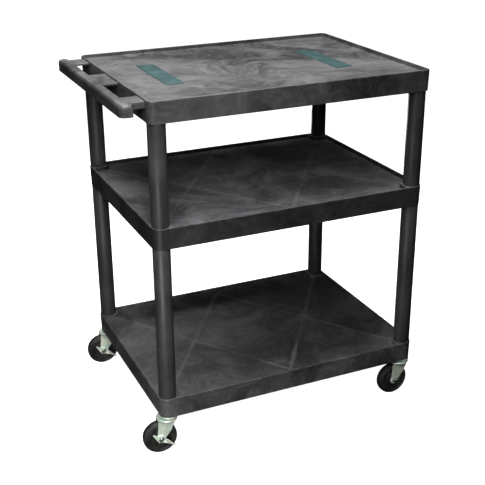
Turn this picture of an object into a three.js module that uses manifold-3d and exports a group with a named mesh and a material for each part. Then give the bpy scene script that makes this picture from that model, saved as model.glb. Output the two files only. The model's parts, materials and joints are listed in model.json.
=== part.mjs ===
// Rolling utility cart: three moulded plastic shelves on round tube legs, with a push handle
// moulded onto one end of the top shelf and four swivel casters, two of them with a side brake.
// Millimetres, +Z up, long side along X, handle at -X, front long side at -Y.
// The origin is on the floor, under the middle of the whole cart's outline.
import * as THREE from "three";
import { mergeVertices } from "three/addons/utils/BufferGeometryUtils.js";
import Module from "manifold-3d";

const wasm = await Module();
wasm.setup();

// ---------------------------------------------------------------- driving dimensions
// Shelves
const SHELF_LENGTH = 812.8;
const SHELF_DEPTH = 609.6;
const SHELF_HEIGHT = 58.6;
const SHELF_DRAFT = 1.2; // the side walls lean in by this much at the bottom
const EDGE_ROUNDING = 1.5;
const TOP_CORNER_RADIUS = 18;
const LIP_WIDTH = 6;
const LIP_DEPTH = 11;
const DECK_THICKNESS = 6;
const WALL_THICKNESS = 6;
const RIB_THICKNESS = 4;
const RIB_HEIGHT = 14;

// Stack, from the floor up
const CASTER_HEIGHT = 117.5;
const LOWER_BAY = 444.4;
const UPPER_BAY = 274.4;

// Legs and their sockets
const LEG_RADIUS = 24;
const LEG_WALL = 3.5;
const LEG_INSET = 26.4; // leg axis to the shelf's outer faces
const SPIGOT_RADIUS = 19.5; // the necked leg end that seats in a socket
const SOCKET_DEPTH = 25;
const COLLAR_RADIUS = 28.5; // the round boss about each socket
const FIT_GAP = 0.3; // clearance between pieces that seat on each other

// Push handle
const HANDLE_REACH = 69.5; // shelf end to the outer face of the bar
const BAR_WIDTH = 34.5;
const BAR_HEIGHT = 31.5;
const BAR_DROP = 4; // shelf rim to the top of the bar
const BAR_HALF_LENGTH = 298;
const BAR_OUTER_RADIUS = 17; // the bar's end corners in plan
const BAR_INNER_RADIUS = 4;
const BAR_OUTER_ROUNDING = 8; // the bar's upper long edges
const BAR_INNER_ROUNDING = 14;
const BAR_LOWER_ROUNDING = 1.5;
const ARM_HEIGHT = 7;
const ARM_DROP = 4.4;
const ARM_ROUNDING = 2;
const FLANGE_HEIGHT = 18; // the outer edge of each end arm
const FLANGE_WIDTH = 6;
const FLANGE_FILLET = 11; // where it meets the bar
const MIDDLE_ARM_HALF = 60;
const END_ARM_INNER = 212;
const END_ARM_OUTER = 275;

// Grip pads on the top deck
const PAD_WIDTH = 50;
const PAD_LENGTH = 254;
const PAD_THICKNESS = 2.2;
const PAD_CORNER = 3;
const PAD_POSITIONS = { grip_pad_left: [-266, 8], grip_pad_right: [233, -5] };

// Casters
const WHEEL_RADIUS = 49;
const WHEEL_TRAIL = 27.5; // stem axis to wheel axle
const TYRE_WIDTH = 24;
const TYRE_BORE = 34.3;
const TYRE_SHOULDER = 4; // depth and width of the eased outer edges
const RIM_HALF = 10;
const DISC_HALF = 5; // the thin web between the wheel's hub and its rim
const HUB_RADIUS = 12;
const AXLE_RADIUS = 4;
const BUSHING_RADIUS = 6;
const FORK_INNER = 13.7; // wheel's middle plane to the inside of a fork arm
const FORK_SHEET = 2.5;
const FORK_END_RADIUS = 12.5;
const CROWN_RADIUS = 30;
const CROWN_OFFSET = 6; // the crown is centred this far behind the stem
const CROWN_HEIGHT = 7.8;
const CROWN_ROUNDING = 2.5;
const RACE_RADIUS = 26;
const RACE_HEIGHT = 7;
const RACE_ROUNDING = 2;
const KINGPIN_RADIUS = 6;
const KINGPIN_HEAD_RADIUS = 9;
const KINGPIN_HEAD_HEIGHT = 4.5;
const STEM_RADIUS = 8;
const STEM_LENGTH = 28;
const STEM_BORE_DEPTH = 30;
const STEM_CHAMFER = 2;
const NUT_RADIUS = 7.5;
const NUT_HEIGHT = 4.5;
const BOLT_TAIL = 1.5;
const BRAKE_SHEET = 2.5;
const BRAKE_FLANGE = 6;
const BRAKE_HEAD_RADIUS = 12.5;

// Outline of a fork arm, as [distance ahead of the stem, height] points
const FORK_REAR_EDGE = [[-33, 105], [-34, 85]];
const FORK_FRONT_EDGE = [[-7, 58], [3, 73.5], [10, 92], [15, 105]];

// Outline of the brake pedal, as [ahead, up] points from the axle
const RELEASE_TIP = [-23, 19];
const RELEASE_HEEL = [-6, -8];
const PEDAL_LOWER_EDGE = [[0, -11], [22, -18], [38, -28.5]];
const LOCK_TIP = [39.5, -26];
const LOCK_SHOULDER = [17, -3];

// Each caster hangs under a leg and stands turned by its own angle, in degrees
const CASTERS = [
  { name: "front_left", x: -1, y: -1, turn: -5.5, brake: true },
  { name: "back_left", x: -1, y: 1, turn: -4.5, brake: true },
  { name: "front_right", x: 1, y: -1, turn: 1, brake: false },
  { name: "back_right", x: 1, y: 1, turn: -8, brake: false },
];

// Facets
const CORNER_SEGMENTS = 5;
const LEG_SEGMENTS = 20;
const WHEEL_SEGMENTS = 28;
const CORE_SEGMENTS = 16;
const SMALL_SEGMENTS = 14;

// ---------------------------------------------------------------- derived places
const HALF_LENGTH = SHELF_LENGTH / 2;
const HALF_DEPTH = SHELF_DEPTH / 2;
const BOTTOM_SHELF_Z = CASTER_HEIGHT;
const MIDDLE_SHELF_Z = BOTTOM_SHELF_Z + SHELF_HEIGHT + LOWER_BAY;
const TOP_SHELF_Z = MIDDLE_SHELF_Z + SHELF_HEIGHT + UPPER_BAY;
const DECK_LEVEL = SHELF_HEIGHT - LIP_DEPTH;
const CAVITY_TOP = DECK_LEVEL - DECK_THICKNESS;
const SHELF_CORNER_RADIUS = LEG_INSET; // concentric with the legs
const LEG_X = HALF_LENGTH - LEG_INSET;
const LEG_Y = HALF_DEPTH - LEG_INSET;
const LEG_CORNERS = CASTERS.map((c) => ({ name: c.name, x: c.x * LEG_X, y: c.y * LEG_Y }));
const AXLE_Z = WHEEL_RADIUS;
const FORK_OUTER = FORK_INNER + FORK_SHEET;
const RACE_LOW = CASTER_HEIGHT - FIT_GAP - RACE_HEIGHT;
const CROWN_HIGH = RACE_LOW - FIT_GAP;
const CROWN_LOW = CROWN_HIGH - CROWN_HEIGHT;
const HEAD_HIGH = CROWN_LOW - FIT_GAP;
const HEAD_LOW = HEAD_HIGH - KINGPIN_HEAD_HEIGHT;

// ---------------------------------------------------------------- colours
const COLOURS = {
  shelf: { color: 0x38383a, roughness: 0.55, metalness: 0.0 },
  leg: { color: 0x3f3f41, roughness: 0.5, metalness: 0.0 },
  pad: { color: 0x39686b, roughness: 0.8, metalness: 0.0 },
  zinc: { color: 0xb9c2b4, roughness: 0.35, metalness: 0.9 },
  steel: { color: 0xa8acaa, roughness: 0.3, metalness: 1.0 },
  wheel: { color: 0x1d1d1c, roughness: 0.55, metalness: 0.0 },
  tyre: { color: 0x171716, roughness: 0.7, metalness: 0.0 },
};

// ---------------------------------------------------------------- helpers
function toManifold(geometry) {
  const bare = geometry.clone();
  bare.deleteAttribute("normal");
  bare.deleteAttribute("uv");
  const merged = mergeVertices(bare, 1e-4);
  const mesh = new wasm.Mesh({
    numProp: 3,
    vertProperties: new Float32Array(merged.attributes.position.array),
    triVerts: new Uint32Array(merged.index.array),
  });
  return new wasm.Manifold(mesh);
}

function toGeometry(solid) {
  const mesh = solid.getMesh();
  const geometry = new THREE.BufferGeometry();
  geometry.setAttribute("position", new THREE.BufferAttribute(mesh.vertProperties, 3));
  geometry.setIndex(new THREE.BufferAttribute(mesh.triVerts, 1));
  geometry.computeVertexNormals();
  return geometry;
}

function joined(solids) {
  return solids.reduce((sum, solid) => sum.add(solid));
}

// Points of a rectangle with round corners, anticlockwise, centred on the origin.
function roundedOutline(halfX, halfY, radius, segments = CORNER_SEGMENTS) {
  const points = [];
  const corners = [[1, 1], [-1, 1], [-1, -1], [1, -1]];
  corners.forEach(([sx, sy], quarter) => {
    for (let i = 0; i <= segments; i++) {
      const angle = (Math.PI / 2) * (quarter + i / segments);
      const x = sx * (halfX - radius) + radius * Math.cos(angle);
      const y = sy * (halfY - radius) + radius * Math.sin(angle);
      points.push([x, y]);
    }
  });
  return points;
}

// A solid skinned over level, convex outlines that all have the same number of points.
// Each level is { z, halfX, halfY, radius }, lowest first.
function loft(levels) {
  const rings = levels.map((l) => roundedOutline(l.halfX, l.halfY, l.radius));
  const count = rings[0].length;
  const positions = [];
  rings.forEach((ring, k) => ring.forEach(([x, y]) => positions.push(x, y, levels[k].z)));
  const index = [];
  for (let k = 0; k + 1 < rings.length; k++) {
    for (let i = 0; i < count; i++) {
      const a = k * count + i;
      const b = k * count + ((i + 1) % count);
      index.push(a, b, b + count, a, b + count, a + count);
    }
  }
  const last = (rings.length - 1) * count;
  for (let i = 1; i + 1 < count; i++) {
    index.push(0, i + 1, i);
    index.push(last, last + i, last + i + 1);
  }
  const geometry = new THREE.BufferGeometry();
  geometry.setAttribute("position", new THREE.Float32BufferAttribute(positions, 3));
  geometry.setIndex(index);
  return toManifold(geometry);
}

// A turned solid about the Z axis; profile points are [radius, z].
function turned(profile, segments) {
  const points = profile.map(([r, z]) => new THREE.Vector2(r, z));
  const lathe = new THREE.LatheGeometry(points, segments);
  lathe.rotateX(Math.PI / 2);
  const signed = toManifold(lathe);
  if (signed.volume() > 0) return signed;
  lathe.index.array.reverse();
  return toManifold(lathe);
}

function cylinder(radius, low, high, segments = LEG_SEGMENTS) {
  return turned([[0, low], [radius, low], [radius, high], [0, high]], segments);
}

function box(lowX, lowY, lowZ, highX, highY, highZ) {
  const geometry = new THREE.BoxGeometry(highX - lowX, highY - lowY, highZ - lowZ);
  geometry.translate((lowX + highX) / 2, (lowY + highY) / 2, (lowZ + highZ) / 2);
  return toManifold(geometry);
}

function shapeOf(points) {
  return new THREE.Shape(points.map(([x, y]) => new THREE.Vector2(x, y)));
}

// An upright slab of a plan outline.
function slab(shape, low, high) {
  const geometry = new THREE.ExtrudeGeometry(shape, {
    depth: high - low,
    bevelEnabled: false,
    curveSegments: CORNER_SEGMENTS,
  });
  geometry.translate(0, 0, low);
  return toManifold(geometry);
}

// A flat plate with its outline in the local X-Z plane, from y = near to y = far.
function plate(shape, near, far) {
  const geometry = new THREE.ExtrudeGeometry(shape, {
    depth: far - near,
    bevelEnabled: false,
    curveSegments: 5,
  });
  geometry.rotateX(Math.PI / 2);
  geometry.translate(0, far, 0);
  return toManifold(geometry);
}

function piece(name, solid, look) {
  const mesh = new THREE.Mesh(toGeometry(solid), new THREE.MeshStandardMaterial(COLOURS[look]));
  mesh.name = name;
  return mesh;
}

// ---------------------------------------------------------------- shelves
function shelfBlank(radius) {
  const foot = {
    halfX: HALF_LENGTH - SHELF_DRAFT,
    halfY: HALF_DEPTH - SHELF_DRAFT,
    radius: radius - SHELF_DRAFT,
  };
  const brim = { halfX: HALF_LENGTH, halfY: HALF_DEPTH, radius };
  const crest = {
    halfX: HALF_LENGTH - EDGE_ROUNDING,
    halfY: HALF_DEPTH - EDGE_ROUNDING,
    radius: radius - EDGE_ROUNDING,
  };
  return loft([
    { z: 0, ...foot },
    { z: SHELF_HEIGHT - EDGE_ROUNDING, ...brim },
    { z: SHELF_HEIGHT, ...crest },
  ]);
}

// The shallow tray above the deck; leg collars stand up through it where a leg comes down.
function tray(radius, hasLegsAbove) {
  const wall = { halfX: HALF_LENGTH - LIP_WIDTH, halfY: HALF_DEPTH - LIP_WIDTH };
  const level = { ...wall, radius: radius - LIP_WIDTH };
  const recess = loft([
    { z: DECK_LEVEL, ...level },
    { z: SHELF_HEIGHT + 1, ...level },
  ]);
  if (!hasLegsAbove) return recess;
  const collars = LEG_CORNERS.map(({ x, y }) =>
    cylinder(COLLAR_RADIUS, 0, SHELF_HEIGHT + 2).translate([x, y, 0])
  );
  return recess.subtract(joined(collars));
}

// Diagonal stiffening ribs: two crosses side by side, hanging under the deck.
function ribs() {
  const reachX = LEG_X;
  const reachY = LEG_Y;
  const length = Math.hypot(reachX, 2 * reachY);
  const slope = Math.atan2(2 * reachY, reachX);
  const half = RIB_THICKNESS / 2;
  const solids = [];
  for (const side of [-1, 1]) {
    for (const lean of [-1, 1]) {
      const rib = box(-length / 2, -half, CAVITY_TOP - RIB_HEIGHT, length / 2, half, CAVITY_TOP + 1);
      const turnedRib = rib.rotate([0, 0, THREE.MathUtils.radToDeg(lean * slope)]);
      solids.push(turnedRib.translate([(side * reachX) / 2, 0, 0]));
    }
  }
  return joined(solids);
}

// The open underside between the walls, round the corner sockets and the ribs.
function cavity(radius) {
  const inset = WALL_THICKNESS + SHELF_DRAFT;
  const level = {
    halfX: HALF_LENGTH - inset,
    halfY: HALF_DEPTH - inset,
    radius: radius - inset,
  };
  const hollow = loft([
    { z: -1, ...level },
    { z: CAVITY_TOP, ...level },
  ]);
  const sockets = LEG_CORNERS.map(({ x, y }) =>
    cylinder(COLLAR_RADIUS, -2, SHELF_HEIGHT).translate([x, y, 0])
  );
  return hollow.subtract(joined(sockets)).subtract(ribs());
}

function cornerBores(radius, low, high) {
  return joined(
    LEG_CORNERS.map(({ x, y }) => cylinder(radius, low, high).translate([x, y, 0]))
  );
}

function legBoresBelow() {
  return cornerBores(SPIGOT_RADIUS + FIT_GAP, -1, SOCKET_DEPTH);
}

function legBoresAbove() {
  return cornerBores(SPIGOT_RADIUS + FIT_GAP, SHELF_HEIGHT - SOCKET_DEPTH, SHELF_HEIGHT + 1);
}

function stemBores() {
  return cornerBores(STEM_RADIUS + FIT_GAP, -1, STEM_BORE_DEPTH);
}

// ---------------------------------------------------------------- push handle
// The bar's section: a rounded top over a flat underside with crisp edges.
function barSection() {
  const outer = BAR_OUTER_ROUNDING;
  const inner = BAR_INNER_ROUNDING;
  const lower = BAR_LOWER_ROUNDING;
  const side = BAR_WIDTH / 2;
  const top = BAR_HEIGHT / 2;
  const shape = new THREE.Shape();
  shape.absarc(side - inner, top - inner, inner, 0, Math.PI / 2);
  shape.absarc(outer - side, top - outer, outer, Math.PI / 2, Math.PI);
  shape.absarc(lower - side, lower - top, lower, Math.PI, 1.5 * Math.PI);
  shape.absarc(side - lower, lower - top, lower, -Math.PI / 2, 0);
  return shape;
}

// The bar seen from above, with its four corners rounded.
function barPlan() {
  const left = BAR_OUTER_RADIUS - BAR_WIDTH / 2;
  const right = BAR_WIDTH / 2 - BAR_INNER_RADIUS;
  const outerEnd = BAR_HALF_LENGTH - BAR_OUTER_RADIUS;
  const innerEnd = BAR_HALF_LENGTH - BAR_INNER_RADIUS;
  const plan = new THREE.Shape();
  plan.absarc(left, outerEnd, BAR_OUTER_RADIUS, Math.PI / 2, Math.PI);
  plan.absarc(left, -outerEnd, BAR_OUTER_RADIUS, Math.PI, 1.5 * Math.PI);
  plan.absarc(right, -innerEnd, BAR_INNER_RADIUS, -Math.PI / 2, 0);
  plan.absarc(right, innerEnd, BAR_INNER_RADIUS, 0, Math.PI / 2);
  return plan;
}

function handleBar() {
  const middleX = BAR_WIDTH / 2 - HALF_LENGTH - HANDLE_REACH;
  const middleZ = SHELF_HEIGHT - BAR_DROP - BAR_HEIGHT / 2;
  const rod = plate(barSection(), -BAR_HALF_LENGTH, BAR_HALF_LENGTH);
  const trim = slab(barPlan(), -BAR_HEIGHT, BAR_HEIGHT);
  return rod.intersect(trim).translate([middleX, 0, middleZ]);
}

// Three arms tie the bar to the shelf's end wall and leave two finger gaps between them.
function handleArms() {
  const start = -(HALF_LENGTH + HANDLE_REACH - BAR_WIDTH / 2);
  const end = -HALF_LENGTH + WALL_THICKNESS - 1;
  const middle = SHELF_HEIGHT - ARM_DROP - ARM_HEIGHT / 2;
  const spans = [
    [-END_ARM_OUTER, -END_ARM_INNER],
    [-MIDDLE_ARM_HALF, MIDDLE_ARM_HALF],
    [END_ARM_INNER, END_ARM_OUTER],
  ];
  return spans.map(([low, high]) => {
    const section = shapeOf(roundedOutline((high - low) / 2, ARM_HEIGHT / 2, ARM_ROUNDING, 3));
    return plate(section, 0, end - start)
      .rotate([0, 0, -90])
      .translate([start, (low + high) / 2, middle]);
  });
}

// The deep outer edges of the end arms, each with a round corner where it meets the bar.
function armFlanges() {
  const bar = BAR_WIDTH - HALF_LENGTH - HANDLE_REACH;
  const shelf = -HALF_LENGTH + WALL_THICKNESS - 1;
  const top = SHELF_HEIGHT - ARM_DROP - ARM_ROUNDING;
  const low = SHELF_HEIGHT - ARM_DROP - FLANGE_HEIGHT;
  const inner = END_ARM_OUTER - FLANGE_WIDTH;
  const outer = END_ARM_OUTER + FLANGE_FILLET;
  const turn = bar + FLANGE_FILLET;
  return [-1, 1].map((end) => {
    const plan = new THREE.Shape();
    plan.moveTo(bar - 3, inner);
    plan.lineTo(shelf, inner);
    plan.lineTo(shelf, END_ARM_OUTER);
    plan.lineTo(turn, END_ARM_OUTER);
    plan.absarc(turn, outer, FLANGE_FILLET, -Math.PI / 2, -Math.PI, true);
    plan.lineTo(bar - 3, outer);
    const flange = slab(plan, low, top);
    return end < 0 ? flange.mirror([0, 1, 0]) : flange;
  });
}

function topShelf() {
  return shelfBlank(TOP_CORNER_RADIUS)
    .add(joined([handleBar(), ...handleArms(), ...armFlanges()]))
    .subtract(tray(TOP_CORNER_RADIUS, false))
    .subtract(cavity(TOP_CORNER_RADIUS))
    .subtract(legBoresBelow());
}

function middleShelf() {
  return shelfBlank(SHELF_CORNER_RADIUS)
    .subtract(tray(SHELF_CORNER_RADIUS, true))
    .subtract(cavity(SHELF_CORNER_RADIUS))
    .subtract(legBoresAbove())
    .subtract(legBoresBelow());
}

function bottomShelf() {
  return shelfBlank(SHELF_CORNER_RADIUS)
    .subtract(tray(SHELF_CORNER_RADIUS, true))
    .subtract(cavity(SHELF_CORNER_RADIUS))
    .subtract(legBoresAbove())
    .subtract(stemBores());
}

// ---------------------------------------------------------------- legs and pads
// A leg tube that fills one bay, with necked ends that seat in the shelves above and below.
function leg(bayHeight) {
  const low = -SOCKET_DEPTH + FIT_GAP;
  const high = bayHeight + SOCKET_DEPTH - FIT_GAP;
  const bore = SPIGOT_RADIUS - LEG_WALL;
  const profile = [
    [bore, low],
    [SPIGOT_RADIUS, low],
    [SPIGOT_RADIUS, FIT_GAP],
    [LEG_RADIUS, FIT_GAP],
    [LEG_RADIUS, bayHeight - FIT_GAP],
    [SPIGOT_RADIUS, bayHeight - FIT_GAP],
    [SPIGOT_RADIUS, high],
    [bore, high],
    [bore, low],
  ];
  return turned(profile, LEG_SEGMENTS);
}

function gripPad() {
  return slab(shapeOf(roundedOutline(PAD_WIDTH / 2, PAD_LENGTH / 2, PAD_CORNER, 2)), 0, PAD_THICKNESS);
}

// ---------------------------------------------------------------- casters
// In a caster's own frame the stem is on the Z axis, the floor is z = 0, the wheel trails
// towards -X, and the nut and the brake are on the -Y side.
function swivelRace() {
  const under = CASTER_HEIGHT - FIT_GAP;
  const stemTop = CASTER_HEIGHT + STEM_LENGTH;
  return turned(
    [
      [0, HEAD_LOW],
      [KINGPIN_HEAD_RADIUS, HEAD_LOW],
      [KINGPIN_HEAD_RADIUS, HEAD_HIGH],
      [KINGPIN_RADIUS, HEAD_HIGH],
      [KINGPIN_RADIUS, RACE_LOW],
      [RACE_RADIUS - RACE_ROUNDING, RACE_LOW],
      [RACE_RADIUS, RACE_LOW + RACE_ROUNDING],
      [RACE_RADIUS, under - RACE_ROUNDING],
      [RACE_RADIUS - RACE_ROUNDING, under],
      [STEM_RADIUS, under],
      [STEM_RADIUS, stemTop - STEM_CHAMFER],
      [STEM_RADIUS - STEM_CHAMFER, stemTop],
      [0, stemTop],
    ],
    LEG_SEGMENTS
  );
}

// The tapered side arm of the fork, rounded about the axle.
function forkArmShape() {
  const shape = new THREE.Shape();
  const [start, ...rear] = FORK_REAR_EDGE;
  shape.moveTo(...start);
  for (const point of rear) shape.lineTo(...point);
  shape.absarc(-WHEEL_TRAIL, AXLE_Z, FORK_END_RADIUS, Math.PI * 0.92, Math.PI * 1.85, false);
  for (const point of FORK_FRONT_EDGE) shape.lineTo(...point);
  return shape;
}

// A round rod along Y through the axle's place.
function acrossAxle(radius, near, far, segments = SMALL_SEGMENTS) {
  return cylinder(radius, -far, -near, segments)
    .rotate([90, 0, 0])
    .translate([-WHEEL_TRAIL, 0, AXLE_Z]);
}

function fork() {
  const crown = turned(
    [
      [0, CROWN_LOW],
      [CROWN_RADIUS - CROWN_ROUNDING, CROWN_LOW],
      [CROWN_RADIUS, CROWN_LOW + CROWN_ROUNDING],
      [CROWN_RADIUS, CROWN_HIGH - CROWN_ROUNDING],
      [CROWN_RADIUS - CROWN_ROUNDING, CROWN_HIGH],
      [0, CROWN_HIGH],
    ],
    LEG_SEGMENTS
  ).translate([-CROWN_OFFSET, 0, 0]);
  const kingpinHole = cylinder(KINGPIN_RADIUS + FIT_GAP, 0, CASTER_HEIGHT, SMALL_SEGMENTS);
  const arms = [
    plate(forkArmShape(), -FORK_OUTER, -FORK_INNER),
    plate(forkArmShape(), FORK_INNER, FORK_OUTER),
  ];
  const axleHoles = acrossAxle(AXLE_RADIUS + FIT_GAP, -FORK_OUTER - 1, FORK_OUTER + 1);
  return joined([crown, ...arms]).subtract(kingpinHole).subtract(axleHoles);
}

// Where the nut starts: on the fork's face, or on the brake pedal where there is one.
function nutSeat(hasBrake) {
  const stack = hasBrake ? FORK_OUTER + FIT_GAP + BRAKE_SHEET : FORK_OUTER;
  return -(stack + FIT_GAP);
}

function axleBolt(hasBrake) {
  const tail = nutSeat(hasBrake) - NUT_HEIGHT - BOLT_TAIL;
  const head = FORK_OUTER + FIT_GAP;
  const shank = acrossAxle(AXLE_RADIUS, tail, head + 1);
  const hex = acrossAxle(NUT_RADIUS, head, head + NUT_HEIGHT, 6);
  return shank.add(hex);
}

function axleNut(hasBrake) {
  const seat = nutSeat(hasBrake);
  const hex = acrossAxle(NUT_RADIUS, seat - NUT_HEIGHT, seat, 6);
  const bore = acrossAxle(AXLE_RADIUS + FIT_GAP, seat - NUT_HEIGHT - 1, seat + 1);
  return hex.subtract(bore);
}

function bushing() {
  const end = FORK_INNER - FIT_GAP;
  const bore = acrossAxle(AXLE_RADIUS + FIT_GAP, -end - 1, end + 1);
  return acrossAxle(BUSHING_RADIUS, -end, end).subtract(bore);
}

// Wheel pieces are turned about Z and then laid over; a facet, not an edge, faces the floor.
function onAxle(profile, segments) {
  return turned(profile, segments)
    .rotate([0, 0, 180 / segments])
    .rotate([90, 0, 0])
    .translate([-WHEEL_TRAIL, 0, AXLE_Z]);
}

function wheelCore() {
  const bore = BUSHING_RADIUS + FIT_GAP;
  const rim = TYRE_BORE - FIT_GAP;
  const hub = FORK_INNER - 1;
  return onAxle([
    [bore, -hub],
    [HUB_RADIUS, -hub],
    [HUB_RADIUS + 2, -DISC_HALF],
    [rim - 5, -DISC_HALF],
    [rim - 4, -RIM_HALF],
    [rim, -RIM_HALF],
    [rim, RIM_HALF],
    [rim - 4, RIM_HALF],
    [rim - 5, DISC_HALF],
    [HUB_RADIUS + 2, DISC_HALF],
    [HUB_RADIUS, hub],
    [bore, hub],
    [bore, -hub],
  ], CORE_SEGMENTS);
}

function tyre() {
  const side = TYRE_WIDTH / 2;
  const outer = WHEEL_RADIUS / Math.cos(Math.PI / WHEEL_SEGMENTS);
  const eased = TYRE_SHOULDER / 3;
  return onAxle([
    [TYRE_BORE, -side],
    [outer - TYRE_SHOULDER, -side],
    [outer - eased, -side + eased],
    [outer, -side + TYRE_SHOULDER],
    [outer, side - TYRE_SHOULDER],
    [outer - eased, side - eased],
    [outer - TYRE_SHOULDER, side],
    [TYRE_BORE, side],
    [TYRE_BORE, -side],
  ], WHEEL_SEGMENTS);
}

// Rocking side brake: a plate on the axle with a short release wing behind and a long
// lock wing in front, each with a turned-out tread along its edge.
function brakePedal() {
  const near = -(FORK_OUTER + FIT_GAP + BRAKE_SHEET);
  const far = -(FORK_OUTER + FIT_GAP);
  const shape = new THREE.Shape();
  shape.moveTo(...RELEASE_TIP);
  for (const point of [RELEASE_HEEL, ...PEDAL_LOWER_EDGE, LOCK_TIP, LOCK_SHOULDER]) {
    shape.lineTo(...point);
  }
  shape.absarc(0, 0, BRAKE_HEAD_RADIUS, Math.PI * 0.1, Math.PI * 0.75, false);
  const treads = [[RELEASE_TIP, RELEASE_HEEL], [LOCK_TIP, LOCK_SHOULDER]].map(([from, to]) => {
    const length = Math.hypot(to[0] - from[0], to[1] - from[1]);
    const angle = Math.atan2(to[1] - from[1], to[0] - from[0]);
    return box(0, near - BRAKE_FLANGE, -BRAKE_SHEET / 2, length, near + 1, BRAKE_SHEET / 2)
      .rotate([0, -THREE.MathUtils.radToDeg(angle), 0])
      .translate([from[0], 0, from[1]]);
  });
  const body = joined([plate(shape, near, far), ...treads]);
  const bore = acrossAxle(AXLE_RADIUS + FIT_GAP, near - 1, far + 1);
  return body.translate([-WHEEL_TRAIL, 0, AXLE_Z]).subtract(bore);
}

function caster({ name, x, y, turn, brake }) {
  const unit = new THREE.Group();
  unit.add(piece(`swivel_race_${name}`, swivelRace(), "zinc"));
  unit.add(piece(`fork_${name}`, fork(), "zinc"));
  unit.add(piece(`axle_bolt_${name}`, axleBolt(brake), "steel"));
  unit.add(piece(`axle_nut_${name}`, axleNut(brake), "steel"));
  unit.add(piece(`bushing_${name}`, bushing(), "steel"));
  unit.add(piece(`wheel_core_${name}`, wheelCore(), "wheel"));
  unit.add(piece(`tyre_${name}`, tyre(), "tyre"));
  if (brake) unit.add(piece(`brake_pedal_${name}`, brakePedal(), "zinc"));
  unit.rotation.z = THREE.MathUtils.degToRad(turn);
  unit.position.set(x * LEG_X, y * LEG_Y, 0);
  return unit;
}

// ---------------------------------------------------------------- assembly
const cart = new THREE.Group();
cart.position.x = HANDLE_REACH / 2;

const shelves = [
  [piece("bottom_shelf", bottomShelf(), "shelf"), BOTTOM_SHELF_Z],
  [piece("middle_shelf", middleShelf(), "shelf"), MIDDLE_SHELF_Z],
  [piece("top_shelf", topShelf(), "shelf"), TOP_SHELF_Z],
];
for (const [shelf, z] of shelves) {
  shelf.position.z = z;
  cart.add(shelf);
}

const bays = [
  ["lower_leg", LOWER_BAY, BOTTOM_SHELF_Z + SHELF_HEIGHT],
  ["upper_leg", UPPER_BAY, MIDDLE_SHELF_Z + SHELF_HEIGHT],
];
for (const [kind, height, z] of bays) {
  for (const { name, x, y } of LEG_CORNERS) {
    const tube = piece(`${kind}_${name}`, leg(height), "leg");
    tube.position.set(x, y, z);
    cart.add(tube);
  }
}

for (const [name, [x, y]] of Object.entries(PAD_POSITIONS)) {
  const pad = piece(name, gripPad(), "pad");
  pad.position.set(x, y, TOP_SHELF_Z + DECK_LEVEL + FIT_GAP);
  cart.add(pad);
}

for (const corner of CASTERS) cart.add(caster(corner));

export default cart;
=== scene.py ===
"""Looks of the rolling utility cart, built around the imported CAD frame.

Shapes are drawn in millimetres in a piece's own frame and scaled to metres when the mesh is made.
Places come from the frame: shelf boxes, leg boxes and caster joints.
"""

import json
import math

import bmesh
import bpy
from mathutils import Matrix, Vector


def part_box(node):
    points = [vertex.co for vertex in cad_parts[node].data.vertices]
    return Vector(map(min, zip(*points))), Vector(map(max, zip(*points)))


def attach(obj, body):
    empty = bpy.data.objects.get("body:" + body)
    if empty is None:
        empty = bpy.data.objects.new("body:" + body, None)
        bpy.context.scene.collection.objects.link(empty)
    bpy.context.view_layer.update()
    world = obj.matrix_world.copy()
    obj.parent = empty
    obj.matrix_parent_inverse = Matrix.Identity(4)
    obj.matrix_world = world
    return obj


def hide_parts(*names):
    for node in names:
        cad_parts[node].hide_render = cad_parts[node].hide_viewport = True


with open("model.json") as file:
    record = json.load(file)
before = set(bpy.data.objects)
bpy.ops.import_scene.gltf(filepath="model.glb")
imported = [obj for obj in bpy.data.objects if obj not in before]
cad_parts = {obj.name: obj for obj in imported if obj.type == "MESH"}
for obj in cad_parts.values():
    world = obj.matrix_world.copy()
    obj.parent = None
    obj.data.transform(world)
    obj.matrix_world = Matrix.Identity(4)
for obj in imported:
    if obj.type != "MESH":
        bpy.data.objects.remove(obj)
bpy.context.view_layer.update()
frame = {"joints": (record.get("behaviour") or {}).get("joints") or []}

MM = 0.001
CORNERS = ("front_left", "back_left", "front_right", "back_right")

# ------------------------------------------------------------------ sizes in millimetres
SHELF_DRAFT = 1.2
LIP_WIDTH = 6.0
LIP_DEPTH = 11.0
DECK_THICKNESS = 6.0
WALL = 6.0
TOP_CORNER = 18.0
COLLAR_RADIUS = 28.5
RIB_THICKNESS = 4.0
RIB_HEIGHT = 14.0
SOCKET_RADIUS = 19.8
SOCKET_DEPTH = 25.0
STEM_BORE = 8.3
STEM_BORE_DEPTH = 30.0
SPIGOT_RADIUS = 19.5
LEG_BORE = 16.0
FIT_GAP = 0.3

BAR_WIDTH = 34.5
BAR_HEIGHT = 31.5
BAR_DROP = 4.0
BAR_HALF_LENGTH = 298.0
BAR_OUTER_RADIUS = 17.0
BAR_INNER_RADIUS = 4.0
BAR_OUTER_ROUNDING = 8.0
BAR_INNER_ROUNDING = 14.0
BAR_LOWER_ROUNDING = 1.5
ARM_DROP = 4.4
ARM_HEIGHT = 7.0
ARM_SADDLE = 0.6
ARM_ROUNDING = 2.0
ARM_OVERLAP = 4.0  # how far an arm runs into the shelf's wall
FLANGE_HEIGHT = 18.0
FLANGE_WIDTH = 6.0
FLANGE_FILLET = 11.0
MIDDLE_ARM_HALF = 60.0
END_ARM_INNER = 212.0
END_ARM_OUTER = 275.0

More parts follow.
